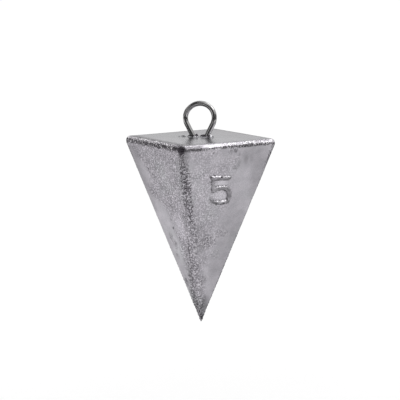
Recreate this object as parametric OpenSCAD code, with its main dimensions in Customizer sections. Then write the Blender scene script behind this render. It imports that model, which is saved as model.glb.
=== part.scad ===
// Pyramid fishing sinker: a four-sided lead casting poured round one bent wire.
// The origin is the middle of the wire's loop, and +Z points up along the body's axis.
// XZ is the mould's parting plane, so it holds the loop and two of the body's corners,
// and the hole through the loop runs along Y.

/* [Lead body] */
// Width of the square top, between the planes of opposite faces
top_w = 28.5; // [24:0.5:34]
// Height from the top face down to where the planes of the four faces meet
body_h = 47.4; // [40:0.2:58]
// Radius of the rounded top edges, and of the arrises where they start
edge_r = 1.2; // [0.6:0.1:2]
// Radius of the point that the arrises run down to
tip_r = 0.12; // [0.06:0.02:0.4]

/* [Parting line] */
// Thickness of the thin fin that the mould's joint leaves
fin_t = 0.25; // [0.15:0.05:0.5]
// Height of the fin above the lead that it stands on
fin_h = 0.1; // [0.05:0.01:0.2]

/* [Wire eye] */
// Diameter of the wire
wire_d = 1.35; // [1:0.05:1.8]
// Inside diameter of the round loop
loop_d = 6.05; // [5:0.05:7]
// Height of the loop's middle above the top face
eye_rise = 4.9; // [4.6:0.1:6.5]
// Inward lean of the two necks below the loop, from upright
neck_lean = 27; // [20:1:34]
// Gap between the two wires where they come closest
waist_gap = 0.3; // [0.1:0.05:0.8]
// Bend radius at the waist, along the middle of the wire
waist_r = 2; // [1.2:0.1:3]
// Outward lean of the two buried legs, from upright
leg_splay = 30; // [10:1:40]
// Straight length of each buried leg
leg_len = 7; // [3:0.5:11]

/* [Hidden] */
// Clearance between the wire and the lead cast round it
cast_gap = 0.02;

// Reach of a straight run of wire into a bend, and how much thinner in radius it is
run_lap = 0.05;
run_ease = 0.005;

// Radius of the wire and of the loop, along the middle of the wire
wire_r = wire_d / 2;
loop_r = loop_d / 2 + wire_r;

// Each face leans in by this angle, and its outward normal points down by as much
face_lean = atan(top_w / 2 / body_h);

// Distance from a ball's middle to the face planes, seen from above at the ball's own height
edge_inset = edge_r / cos(face_lean);
tip_inset = tip_r / cos(face_lean);

// Middles of the corner balls and of the ball at the tip, below the top face
corner_z = -edge_r;
corner_x = sqrt(2) * (top_w / 2 * (1 + corner_z / body_h) - edge_inset);
tip_z = -body_h * (1 - tip_inset / (top_w / 2));

// The waist's arc touches the neck, which touches the loop, and stays clear of its twin
waist_x = wire_r + waist_gap / 2 + waist_r;
waist_z = (waist_x * cos(neck_lean) - loop_r - waist_r) / sin(neck_lean);
waist_centre = [waist_x, waist_z];

// Where each straight run of the wire starts, in the plane of the loop
neck_top = loop_r * [cos(neck_lean), -sin(neck_lean)];
neck_end = waist_centre - waist_r * [cos(neck_lean), -sin(neck_lean)];
leg_top = waist_centre - waist_r * [cos(leg_splay), sin(leg_splay)];

// Facets of the casting's rounded edges, and of the round wire
ball_fn = 30;
wire_fn = 48;

// Straight run of wire from a point in the loop's plane along a heading. It reaches into
// the bends at its ends, a hair thinner than they are, so that all of them join as one wire.
module wire_run(start, heading, length, rod_r) {
    translate(start)
        rotate(heading)
            translate([-run_lap, 0, 0])
                rotate([0, 90, 0])
                    cylinder(h = run_lap + length, r = rod_r - run_ease, $fn = wire_fn);
}

// Bend of the wire about a centre in the loop's plane, from one angle through a sweep
module wire_bend(centre, bend_r, from, sweep, rod_r) {
    translate(centre)
        rotate(from)
            rotate_extrude(angle = sweep, $fn = wire_fn)
                translate([bend_r, 0])
                    circle(r = rod_r, $fn = wire_fn);
}

// Neck, waist and buried leg on the +X side, with the leg's end longer by an overrun
module wire_side(rod_r, overrun) {
    wire_run(neck_top, -90 - neck_lean, norm(neck_end - neck_top) + run_lap, rod_r);
    wire_bend(waist_centre, waist_r, 180 - neck_lean, neck_lean + leg_splay, rod_r);
    wire_run(leg_top, leg_splay - 90, leg_len + overrun, rod_r);
}

// The whole bent wire standing in the XZ plane, as the wire itself or as its passage
module bent_wire(rod_r, overrun) {
    rotate([90, 0, 0]) {
        wire_bend([0, 0], loop_r, -neck_lean, 180 + 2 * neck_lean, rod_r);
        wire_side(rod_r, overrun);
        mirror([1, 0, 0])
            wire_side(rod_r, overrun);
    }
}

// The pyramid: flat faces between round top edges and arrises that taper to the tip
module casting() {
    hull() {
        for (turn = [0:90:270])
            rotate(turn)
                translate([corner_x, 0, corner_z])
                    sphere(r = edge_r, $fn = ball_fn);
        translate([0, 0, tip_z])
            sphere(r = tip_r, $fn = ball_fn);
    }
}

// Fin that follows the casting's outline all round the parting plane
module parting_fin() {
    rotate([90, 0, 0])
        linear_extrude(fin_t, center = true)
            hull() {
                for (side = [-1, 1])
                    translate([side * corner_x, corner_z])
                        circle(r = edge_r + fin_h, $fn = ball_fn);
                translate([0, tip_z])
                    circle(r = tip_r + fin_h, $fn = ball_fn);
            }
}

// Lead poured in a two-part mould, with the passage that the wire holds open
module lead_body() {
    color("darkgray")
        difference() {
            translate([0, 0, -eye_rise]) {
                casting();
                parting_fin();
            }
            bent_wire(wire_r + cast_gap, cast_gap);
        }
}

// Line eye: the loop above the lead, its two necks, the waist and the splayed legs
module wire_eye() {
    color("dimgray")
        bent_wire(wire_r, 0);
}

lead_body();
wire_eye();
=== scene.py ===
"""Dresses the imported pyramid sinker.

The sinker is one lead casting, with the marks of its two-part mould, poured round a bent wire eye.
Shapes are worked out in millimetres and become metres when a mesh is finished.
"""

from __future__ import annotations

import logging
import math
from dataclasses import dataclass, field
from enum import Enum
from typing import ClassVar, Protocol

import bmesh
import bpy
from bmesh.types import BMesh, BMVert
from bpy.types import ID, Material, Mesh, Node, NodeSocket, Object
from mathutils import Matrix, Vector, noise


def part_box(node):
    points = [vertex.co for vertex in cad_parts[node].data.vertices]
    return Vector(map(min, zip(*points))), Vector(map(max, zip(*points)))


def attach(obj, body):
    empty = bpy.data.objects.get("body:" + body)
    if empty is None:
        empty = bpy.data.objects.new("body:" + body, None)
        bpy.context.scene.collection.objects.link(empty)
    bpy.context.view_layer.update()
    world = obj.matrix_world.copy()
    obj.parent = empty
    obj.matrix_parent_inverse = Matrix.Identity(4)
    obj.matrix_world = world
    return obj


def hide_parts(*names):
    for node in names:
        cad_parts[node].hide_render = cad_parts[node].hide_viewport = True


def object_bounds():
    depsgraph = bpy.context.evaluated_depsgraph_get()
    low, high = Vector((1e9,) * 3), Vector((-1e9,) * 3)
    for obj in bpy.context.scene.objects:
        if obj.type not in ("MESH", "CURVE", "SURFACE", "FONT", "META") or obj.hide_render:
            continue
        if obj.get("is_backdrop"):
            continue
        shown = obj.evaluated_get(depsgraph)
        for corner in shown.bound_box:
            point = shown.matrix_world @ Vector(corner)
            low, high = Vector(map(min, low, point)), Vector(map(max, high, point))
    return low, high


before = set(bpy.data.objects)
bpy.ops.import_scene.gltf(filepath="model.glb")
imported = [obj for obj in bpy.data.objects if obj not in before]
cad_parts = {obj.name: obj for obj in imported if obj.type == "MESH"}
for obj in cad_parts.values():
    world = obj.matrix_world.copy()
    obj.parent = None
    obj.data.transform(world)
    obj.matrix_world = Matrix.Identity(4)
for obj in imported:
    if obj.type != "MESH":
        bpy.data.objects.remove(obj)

Number = float | int
Span = tuple[float, float]
Colour = tuple[float, float, float]

MM = 0.001
ROOT_2 = math.sqrt(2)
PIXELS = 400
WHITE: Colour = (1.0, 1.0, 1.0)
SEED_STEP = Vector((1.0, -1.0, 0.37))
LOG = logging.getLogger("sinker")


def blend(low: float, high: float, value: float) -> float:
    """Gives 0 below low, 1 above high and a smooth step between. High may be the lower of the two."""
    share = min(1.0, max(0.0, (value - low) / (high - low)))
    return share * share * (3 - 2 * share)


def wander(place: Vector, size: float, seed: float = 0.0) -> float:
    """Gives smooth noise from about -1 to 1 whose features are about size across."""
    return noise.noise(place / size + seed * SEED_STEP)


def within(rise: Span, fall: Span, value: float) -> float:
    """Gives 1 between a smooth rise and a smooth fall, and 0 beyond both."""
    return blend(*rise, value) * blend(*fall, value)


@dataclass(frozen=True)
class Ramp:
    """An amount that comes in smoothly from one value to another, which may be the lower one."""

    amount: float
    start: float
    end: float

    def at(self, value: float) -> float:
        """Gives how much of the amount has come in at a value."""
        return self.amount * blend(self.start, self.end, value)


@dataclass(frozen=True)
class Ripple:
    """Smooth noise on a form: the size of its features in millimetres, its seed and its strength."""

    size: float
    seed: float
    strength: float = 1.0

    def at(self, place: Vector) -> float:
        """Gives the noise at a point, from about minus to plus the strength."""
        return self.strength * wander(place, self.size, self.seed)


class Channel:
    """A number that a shader works out, with the operators of arithmetic."""

    def __init__(self, graph: Graph, socket: NodeSocket) -> None:
        """Wraps a socket.

        Args:
            graph: The node tree that the socket is in.
            socket: An output that gives one number.
        """
        self.graph = graph
        self.socket = socket

    def _maths(self, operation: str, *terms: Channel | Number) -> Channel:
        """Adds a Math node.

        Args:
            operation: The node's operation.
            *terms: The values or channels that it takes, in order.

        Returns:
            The node's result.
        """
        made = self.graph.node("ShaderNodeMath", {"operation": operation}, dict(enumerate(terms)))
        return Channel(self.graph, made.outputs[0])

    def __add__(self, other: Channel | Number) -> Channel:
        """Gives self + other."""
        return self._maths("ADD", self, other)

    def __radd__(self, other: Number) -> Channel:
        """Gives other + self."""
        return self._maths("ADD", other, self)

    def __sub__(self, other: Channel | Number) -> Channel:
        """Gives self - other."""
        return self._maths("SUBTRACT", self, other)

    def __rsub__(self, other: Number) -> Channel:
        """Gives other - self."""
        return self._maths("SUBTRACT", other, self)

    def __mul__(self, other: Channel | Number) -> Channel:
        """Gives self * other."""
        return self._maths("MULTIPLY", self, other)

    def __rmul__(self, other: Number) -> Channel:
        """Gives other * self."""
        return self._maths("MULTIPLY", other, self)

    def __abs__(self) -> Channel:
        """Gives the size of self, without its sign."""
        return self._maths("ABSOLUTE", self)

    def at_most(self, other: Channel | Number) -> Channel:
        """Gives the lower of self and other."""
        return self._maths("MINIMUM", self, other)

    def at_least(self, other: Channel | Number) -> Channel:
        """Gives the higher of self and other."""
        return self._maths("MAXIMUM", self, other)

    def step(self, low: float, high: float) -> Channel:
        """Steps smoothly from 0 to 1.

        Args:
            low: The value below which the result is 0.
            high: The value above which it is 1. It may be below low, and then the step falls.

        Returns:
            The step.
        """
        first, last, ends = (low, high, (0.0, 1.0)) if low < high else (high, low, (1.0, 0.0))
        made = self.graph.node(
            "ShaderNodeMapRange",
            {"interpolation_type": "SMOOTHSTEP"},
            {"Value": self, "From Min": first, "From Max": last, "To Min": ends[0], "To Max": ends[1]},
        )
        return Channel(self.graph, made.outputs["Result"])


@dataclass(frozen=True)
class Cloud:
    """Noise in a finish: the size of its features, the octaves of finer noise and their strength."""

    size: float
    detail: float
    rough: float


class Graph:
    """The node tree of one material."""

    def __init__(self, name: str) -> None:
        """Starts an empty material.

        Args:
            name: The material's name.
        """
        self.material = bpy.data.materials.new(name)
        self.material.use_nodes = True
        self.tree = self.material.node_tree
        self.tree.nodes.clear()

    def node(
        self,
        kind: str,
        settings: dict[str, object] | None = None,
        sockets: dict[str | int, object] | None = None,
    ) -> Node:
        """Adds one node of any type.

        Args:
            kind: The node's type.
            settings: Its properties, which are set first.
            sockets: Values, channels or output sockets for its inputs, by name or number.

        Returns:
            The node.
        """
        made = self.tree.nodes.new(kind)
        for name, value in (settings or {}).items():
            setattr(made, name, value)
        for name, value in (sockets or {}).items():
            if isinstance(value, Channel):
                value = value.socket
            if isinstance(value, NodeSocket):
                self.tree.links.new(value, made.inputs[name])
            elif isinstance(value, tuple) and made.inputs[name].type == "RGBA":
                made.inputs[name].default_value = (*value, 1.0)
            else:
                made.inputs[name].default_value = value
        return made

    def attribute(self, name: str) -> Channel:
        """Gives a number that the mesh carries on its points."""
        return Channel(self, self.node("ShaderNodeAttribute", {"attribute_name": name}).outputs["Fac"])

    def place(self) -> NodeSocket:
        """Gives the point's place on the piece, in metres."""
        return self.node("ShaderNodeTexCoord").outputs["Object"]

    def cloud(self, place: NodeSocket, cloud: Cloud) -> Channel:
        """Gives noise around 0.5.

        Args:
            place: The coordinates that it is read at.
            cloud: What it is like, with its size in the coordinates' own unit.

        Returns:
            The noise.
        """
        made = self.node(
            "ShaderNodeTexNoise",
            {"noise_dimensions": "3D"},
            {"Vector": place, "Scale": 1 / cloud.size, "Detail": cloud.detail, "Roughness": cloud.rough},
        )
        return Channel(self, made.outputs["Fac"])

    def mix(
        self,
        share: Channel | Number,
        first: Colour | NodeSocket,
        second: Colour | NodeSocket,
    ) -> NodeSocket:
        """Mixes two colours, which are inputs 6 and 7 and output 2 of the node.

        Args:
            share: How much of the second one there is.
            first: The colour at a share of 0.
            second: The other one.

        Returns:
            The mixed colour.
        """
        return self.node("ShaderNodeMix", {"data_type": "RGBA"}, {0: share, 6: first, 7: second}).outputs[2]

    def scale(self, shade: NodeSocket, by: Channel) -> NodeSocket:
        """Makes a colour brighter or darker by a channel."""
        made = self.node("ShaderNodeVectorMath", {"operation": "SCALE"}, {"Vector": shade, "Scale": by})
        return made.outputs["Vector"]

    def bump(self, height: Channel, depth: float, strength: float) -> NodeSocket:
        """Turns a height into a normal.

        Args:
            height: The height, from about 0 to 1.
            depth: What a height of 1 stands for, in metres.
            strength: How much of it is used.

        Returns:
            The normal.
        """
        made = self.node("ShaderNodeBump", {}, {"Strength": strength, "Distance": depth, "Height": height})
        return made.outputs["Normal"]

    def metal(self, shade: NodeSocket, rough: Channel, normal: NodeSocket, edge: Colour) -> Material:
        """Ends the tree in a bare metal surface.

        Args:
            shade: The base colour.
            rough: The roughness.
            normal: The shading normal.
            edge: The tint of what it mirrors at a glancing angle.

        Returns:
            The finished material.
        """
        surface = self.node(
            "ShaderNodeBsdfPrincipled",
            {},
            {
                "Base Color": shade,
                "Roughness": rough,
                "Normal": normal,
                "Metallic": 1.0,
                "Specular Tint": edge,
            },
        )
        self.node("ShaderNodeOutputMaterial", {}, {"Surface": surface.outputs["BSDF"]})
        return self.material

    def glow(self, strength: Channel | Number) -> NodeSocket:
        """Gives white light of a strength, where 1 is white."""
        made = self.node("ShaderNodeEmission", {}, {"Color": WHITE, "Strength": strength})
        return made.outputs["Emission"]


@dataclass(frozen=True)
class CastLead:
    """Grey cast lead: satin where the mould was smooth, gritty and dull where it was dressed with soot.

    Reads five numbers from the mesh: how coarse the skin is; the share of it that dark oxide and
    painted shade cover; where rubbed metal and painted highlights brighten it; where the skin is
    smoothest; and where it is lighter or darker than the rest, which includes painted shade.
    """

    numbers: ClassVar[tuple[str, ...]] = ("grit", "soot_and_shade", "rub_and_highlight", "sheen", "tone")

    clean: Colour = (0.464, 0.441, 0.478)
    dull: Colour = (0.402, 0.384, 0.417)
    cool: Colour = (0.424, 0.428, 0.442)
    # Dark oxide, which also serves as painted shade
    oxide_and_shade: Colour = (0.055, 0.048, 0.058)
    # Rubbed metal, painted highlights and painted glints
    bright: Colour = (0.84, 0.82, 0.84)
    edge_tint: Colour = (0.72, 0.72, 0.72)

    # Light and dark of the bare metal
    specks: Cloud = Cloud(0.40 * MM, 1.0, 0.5)
    speck_contrast: float = 2.2
    flecks: Cloud = Cloud(0.27 * MM, 1.0, 0.5)
    fleck_contrast: float = 2.0
    smears: Cloud = Cloud(0.9 * MM, 3.0, 0.55)
    smear_squeeze: tuple[float, float, float] = (0.14, 1.0, 1.0)
    blotches: Cloud = Cloud(2.6 * MM, 3.0, 0.6)
    dull_blotch: Span = (0.36, 0.62)
    drifts: Cloud = Cloud(11 * MM, 2.0, 0.5)
    cool_drift: Span = (0.47, 0.68)
    cool_by_drift: float = 0.5
    cool_by_sheen: float = 0.5
    worm_at: float = 0.46
    worm_half: Span = (0.15, 0.02)
    worm_dark: float = 0.32
    speck_by_grit: float = 0.95
    speck_least: float = 0.05
    fleck_by_grit: float = 0.34
    fleck_least: float = 0.03
    light_by_grit: float = 0.04
    light_by_smear: float = 0.40
    light_by_tone: float = 0.4

    # Soot and painted shade, and the painted glints in and beside them
    soot_start: Span = (0.0, 0.12)
    soot_contrast: float = 1.9
    soot_by_worm: float = 0.30
    cover_least: float = 0.42
    cover_by_soot: float = 0.6
    glint_speck: Span = (0.62, 0.86)
    glint_in_soot: float = 0.6
    glint_less_sheen: float = 0.4
    highlight_share: float = 0.25

    # Roughness and bumps
    roughness: float = 0.34
    rough_by_grit: float = 0.08
    rough_by_stain_and_shade: float = 0.12
    rough_by_speck: float = 0.08
    smooth_by_sheen: float = 0.10
    smooth_by_highlight: float = 0.14
    bump_depth: float = 0.10 * MM
    bump_share: float = 0.8
    height_least: float = 0.04
    height_by_grit: float = 0.9
    height_by_soot: float = 0.7
    height_by_fleck: float = 0.25

    def material(self) -> Material:
        """Makes the material.

        Returns:
            The material, for a mesh that carries the five numbers.
        """
        graph = Graph("cast_lead")
        place = graph.place()
        grit, soot_and_shade, rub_and_highlight, sheen, tone = (graph.attribute(name) for name in self.numbers)
        speck = (graph.cloud(place, self.specks) - 0.5) * self.speck_contrast + 0.5
        fleck = (graph.cloud(place, self.flecks) - 0.5) * self.fleck_contrast
        worm = abs(speck - self.worm_at).step(*self.worm_half)

        body = self.clean_metal(graph, place, sheen)
        plain = 1.0 - sheen
        speckled = grit * self.speck_by_grit + plain * self.speck_least
        flecked = grit * self.fleck_by_grit + plain * self.fleck_least
        light = (speck - 0.5) * speckled - worm * grit * self.worm_dark + fleck * flecked
        light = light + grit * self.light_by_grit
        light = light + self.smear(graph, place) * sheen * self.light_by_smear
        body = graph.scale(body, light + tone * self.light_by_tone + 1.0)

        # Soot and painted shade darken the metal, and rubbed metal, painted highlights and painted glints
        # brighten it
        held = soot_and_shade.step(*self.soot_start)
        stain_and_shade = (soot_and_shade - speck) * self.soot_contrast + 0.5 + worm * self.soot_by_worm
        cover = (soot_and_shade * self.cover_by_soot + self.cover_least).at_most(1.0)
        stain_and_shade = stain_and_shade.at_least(0.0).at_most(1.0) * held * cover
        body = graph.mix(stain_and_shade, body, self.oxide_and_shade)
        # Painted glints on bright specks where the soot is thin, and where rubbed metal and painted
        # highlights lie
        thin = held * (0.5 - soot_and_shade).at_least(0.0) * (self.glint_in_soot - sheen * self.glint_less_sheen)
        glint = speck.step(*self.glint_speck) * (rub_and_highlight + thin).at_most(1.0)
        glint = glint + rub_and_highlight * (1.0 - stain_and_shade) * self.highlight_share
        body = graph.mix(glint.at_most(1.0), body, self.bright)

        rough = self.roughness + grit * self.rough_by_grit + stain_and_shade * self.rough_by_stain_and_shade
        rough = rough - sheen * self.smooth_by_sheen - rub_and_highlight * self.smooth_by_highlight
        rough = rough + (speck - 0.5) * self.rough_by_speck
        height = speck * (grit * self.height_by_grit + held * self.height_by_soot + self.height_least)
        height = height + fleck * grit * self.height_by_fleck
        normal = graph.bump(height, self.bump_depth, self.bump_share)
        return graph.metal(body, rough, normal, self.edge_tint)

    def clean_metal(self, graph: Graph, place: NodeSocket, sheen: Channel) -> NodeSocket:
        """Gives the colour of the clean metal, with its dull blotches and cooler smooth parts.

        Args:
            graph: The material's tree.
            place: The point's place on the piece.
            sheen: Where the skin is smoothest.

        Returns:
            The colour.
        """
        blotch = graph.cloud(place, self.blotches).step(*self.dull_blotch)
        drift = graph.cloud(place, self.drifts).step(*self.cool_drift)
        cool = drift * self.cool_by_drift + sheen * self.cool_by_sheen
        body = graph.mix(blotch, self.clean, self.dull)
        return graph.mix(cool.at_most(1.0), body, self.cool)

    def smear(self, graph: Graph, place: NodeSocket) -> Channel:
        """Gives noise around 0 that is drawn out along X, as the skin of the top face is."""
        drawn = graph.node("ShaderNodeMapping", {}, {"Vector": place, "Scale": self.smear_squeeze})
        return graph.cloud(drawn.outputs["Vector"], self.smears) - 0.5


@dataclass(frozen=True)
class DrawnWire:
    """Dark steel wire with long fine drawing lines and thin patches of scale.

    Reads one vector from the mesh: the place round the wire, with its length squeezed.
    """

    lines: ClassVar[str] = "draw"

    steel: Colour = (0.42, 0.415, 0.415)
    scale: Colour = (0.20, 0.195, 0.198)
    streaks: Cloud = Cloud(0.16, 3.0, 0.6)
    patches: Cloud = Cloud(2.4 * MM, 2.0, 0.5)
    patch_edge: Span = (0.42, 0.62)
    specks: Cloud = Cloud(0.3 * MM, 2.0, 0.6)
    scale_by_patch: float = 0.5
    scale_by_streak: float = 0.7
    roughness: float = 0.10
    rough_by_patch: float = 0.06
    rough_by_streak: float = 0.10
    bump_depth: float = 0.010 * MM
    bump_share: float = 0.4
    height_by_streak: float = 0.85
    height_by_speck: float = 0.15

    def material(self) -> Material:
        """Makes the material.

        Returns:
            The material, for a mesh that carries the vector.
        """
        graph = Graph("eye_wire")
        lines = graph.node("ShaderNodeAttribute", {"attribute_name": self.lines}).outputs["Vector"]
        place = graph.place()
        streak = graph.cloud(lines, self.streaks)
        patch = graph.cloud(place, self.patches).step(*self.patch_edge)
        scaled = patch * self.scale_by_patch + (streak - 0.5) * self.scale_by_streak
        body = graph.mix(scaled.at_least(0.0), self.steel, self.scale)
        rough = self.roughness + patch * self.rough_by_patch + (streak - 0.5) * self.rough_by_streak
        speck = graph.cloud(place, self.specks)
        height = streak * self.height_by_streak + speck * self.height_by_speck
        return graph.metal(body, rough, graph.bump(height, self.bump_depth, self.bump_share), WHITE)


class Grade(Enum):
    """How closely a region's mesh is divided, as halvings of the casting's own spacing."""

    PLAIN = 0
    FINE = 1
    FINEST = 2


class Face(Enum):
    """The four sloping faces, by the signs of X and Y on them."""

    FRONT_RIGHT = (1, -1)
    FRONT_LEFT = (-1, -1)
    BACK_RIGHT = (1, 1)
    BACK_LEFT = (-1, 1)

    @classmethod
    def under(cls, place: Vector) -> Face:
        """Gives the face that a point lies on or over."""
        return cls((1 if place.x > 0 else -1, 1 if place.y > 0 else -1))


@dataclass(frozen=True)
class Spot:
    """A point of the plain casting and where it lies, in millimetres.

    Depth is taken from the top face, and share is depth over the body's height. Half is the
    distance from the axis to an arris at that depth. Beside is 0 on the front and back arrises and
    1 on the parting line. Inside is how far the point is in from the top's outline, seen from
    above. Top, roll and side say how far it belongs to the top face, to the rolled edge and to a
    sloping face, and below is all but the top face. Lift is 1 where the surface faces up.
    """

    place: Vector
    face: Face
    across: float
    along: float
    depth: float
    share: float
    half: float
    beside: float
    inside: float
    top: float
    roll: float
    side: float
    below: float
    lift: float


@dataclass
class Skin:
    """The casting's surface at a spot: how far it stands out, and the numbers that its finish reads."""

    move: float = 0.0
    grit: float = 0.0
    # Soot here includes painted shade, and rub includes painted highlights
    soot_and_shade: float = 0.0
    rub_and_highlight: float = 0.0
    sheen: float = 0.0
    tone: float = 0.0

    def blacken(self, *amounts: float) -> None:
        """Raises the soot and painted shade to the highest of the amounts."""
        self.soot_and_shade = max(self.soot_and_shade, *amounts)

    def brighten(self, amount: float) -> None:
        """Raises the rubbed brightness and painted highlight to an amount."""
        self.rub_and_highlight = max(self.rub_and_highlight, amount)


class Feature(Protocol):
    """A form or a stain of the casting."""

    def mark(self, spot: Spot, skin: Skin) -> None:
        """Changes the skin at a spot."""


@dataclass(frozen=True)
class HalfGrain:
    """The coarse skin of the left or the right half.

    Its reach is a share of the way from the front or back arris to the parting line. The reach
    shrinks lower down, and the strength is eased near the top edge.
    """

    reach: float
    shrink: Ramp
    strength: float
    ease: Ramp


@dataclass(frozen=True)
class Grain:
    """The skin: coarse next to the front and back arrises, and smooth next to the parting line."""

    left: HalfGrain = HalfGrain(0.84, Ramp(0.34, 13.0, 20.0), 1.0, Ramp(0.0, 9.0, 5.0))
    right: HalfGrain = HalfGrain(0.54, Ramp(0.30, 27.0, 33.0), 0.62, Ramp(0.18, 9.0, 5.0))
    tip_gain: Ramp = Ramp(0.34, 34.0, 42.0)
    border: Span = (0.16, -0.14)
    patches: Ripple = Ripple(5.0, 3.1, 0.18)
    flecks: Ripple = Ripple(2.2, 8.4, 0.10)
    drift: Ripple = Ripple(4.0, 1.3, 0.5)
    waves: Ripple = Ripple(9.0, 1.7, 0.035)
    dimples: Ripple = Ripple(1.7, 5.2, 0.012)
    smooth_dimples: float = 0.3
    grains: Ripple = Ripple(0.7, 2.9, 0.022)

    def mark(self, spot: Spot, skin: Skin) -> None:
        """Sets the grit and makes the surface uneven.

        Args:
            spot: The spot.
            skin: Its skin, which is changed.
        """
        half = self.right if spot.place.x > 0 else self.left
        reach = half.reach - half.shrink.at(spot.depth) + self.tip_gain.at(spot.depth)
        away = spot.beside + self.patches.at(spot.place) + self.flecks.at(spot.place)
        strength = half.strength - half.ease.at(spot.depth) + self.drift.at(spot.place)
        skin.grit = spot.side * strength * blend(reach + self.border[0], reach + self.border[1], away)
        skin.move += self.waves.at(spot.place) * (1 - spot.roll)
        skin.move += self.dimples.at(spot.place) * (self.smooth_dimples + skin.grit)
        skin.move += self.grains.at(spot.place) * skin.grit


@dataclass(frozen=True)
class Roll:
    """The lumpy rolled edge round the top, grainy on the left and toward the right corner."""

    lumps: Ripple = Ripple(1.35, 6.3, 0.06)
    bumps: Ripple = Ripple(0.7, 4.4, 0.03)
    sink: float = 0.02
    grains: Ripple = Ripple(0.46, 7.1, 0.085)
    right_coarse: float = 0.12
    right_coarser: Ramp = Ramp(0.75, 6.0, 14.0)
    corner: Span = (0.97, 0.86)

    # Soot in the grain, and painted shade on the left roll's underside and in a dark crescent at the far
    # left
    right_soot: float = 0.42
    left_soot: float = 0.10
    left_more_soot: Ramp = Ramp(0.34, 0.92, 0.75)
    smudge: Ripple = Ripple(0.8, 8.1, 0.16)
    front_smudge: Ramp = Ramp(0.30, 0.5, 0.1)
    upper_soot_and_shade: Ramp = Ramp(0.54, 0.86, 0.50)
    lower_shade: Ramp = Ramp(0.28, 0.42, 0.15)
    soot_end: Span = (1.0, 0.9)
    crescent_x: Span = (-18.3, -18.7)
    crescent_depth: tuple[Span, Span] = ((0.1, 0.5), (2.4, 1.7))
    crescent_shade: float = 0.95
    crescent_ragged: Ripple = Ripple(0.8, 5.1, 0.4)

    # Painted highlights, and a thin stretch of painted shade on the right roll
    left_highlight: float = 0.80
    left_highlight_lift: Span = (0.45, 0.75)
    left_highlight_x: Span = (-2.5, -5.0)
    left_highlight_patches: Ripple = Ripple(1.4, 2.1, 1.3)
    left_least_highlight: Ramp = Ramp(0.75, -2.0, -4.5)
    left_highlight_end: Span = (0.97, 0.9)
    right_highlight: float = 0.30
    right_lump_highlight: Ramp = Ramp(0.5, -0.02, 0.05)
    thin_x: Span = (5.2, 3.4)
    thin_lift: Span = (0.90, 0.68)
    thin_highlight: float = 0.9
    thin_tone: float = 1.5

    def mark(self, spot: Spot, skin: Skin) -> None:
        """Makes the roll lumpy and grainy, leaves soot and painted shade in it and paints highlights on it.

        Args:
            spot: The spot.
            skin: Its skin, which is changed.
        """
        x = spot.place.x
        coarse = 1.0 if x < 0 else self.right_coarse + self.right_coarser.at(x)
        coarse *= spot.roll * blend(*self.corner, spot.beside)
        lump = self.lumps.at(spot.place) + self.bumps.at(spot.place)
        skin.move += spot.roll * (lump - self.sink) + self.grains.at(spot.place) * coarse
        if x < 0:
            self.soil_and_shade_left(spot, skin, coarse)
            self.highlight_left(spot, skin)
        else:
            skin.blacken(self.right_soot * coarse)
            self.highlight_right(spot, skin, lump)

    def soil_and_shade_left(self, spot: Spot, skin: Skin, coarse: float) -> None:
        """Leaves soot in the left roll's grain, and paints shade on its underside and on its far corner.

        Args:
            spot: The spot.
            skin: Its skin, which is changed.
            coarse: How grainy the roll is there.
        """
        skin.blacken((self.left_more_soot.at(spot.beside) + self.left_soot) * coarse)
        # Painted shade on the underside of the left roll, where it faces less upward
        low = spot.lift - self.front_smudge.at(spot.beside) + self.smudge.at(spot.place)
        under = self.upper_soot_and_shade.at(low) + self.lower_shade.at(low)
        skin.blacken(under * spot.roll * blend(*self.soot_end, spot.beside))
        # Painted shade in a dark crescent at the far left corner
        crescent = blend(*self.crescent_x, spot.place.x) * within(*self.crescent_depth, spot.depth)
        skin.blacken((self.crescent_shade + self.crescent_ragged.at(spot.place)) * crescent)

    def highlight_left(self, spot: Spot, skin: Skin) -> None:
        """Paints a highlight on the upper part of the left roll, away from the front corner.

        Args:
            spot: The spot.
            skin: Its skin, which is changed.
        """
        x = spot.place.x
        patchy = blend(*self.left_highlight_lift, spot.lift) * blend(*self.left_highlight_x, x)
        patchy *= self.left_highlight + self.left_highlight_patches.at(spot.place)
        rub_and_highlight = max(patchy, self.left_least_highlight.at(x))
        skin.rub_and_highlight = spot.roll * rub_and_highlight * blend(*self.left_highlight_end, spot.beside)

    def highlight_right(self, spot: Spot, skin: Skin, lump: float) -> None:
        """Paints a highlight on the right roll, most on its lumps, but for a thin stretch at the front with
        painted shade.

        Args:
            spot: The spot.
            skin: Its skin, which is changed.
            lump: How far the roll stands out there.
        """
        x, y, _ = spot.place
        # The thin stretch at the front gets less painted highlight and painted shade instead
        thin = blend(*self.thin_x, x) * blend(*self.thin_lift, spot.lift) if x > 0 > y else 0.0
        rub_and_highlight = self.right_highlight + self.right_lump_highlight.at(lump)
        skin.rub_and_highlight = spot.roll * rub_and_highlight * (1 - self.thin_highlight * thin)
        skin.tone -= self.thin_tone * spot.roll * thin


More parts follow.
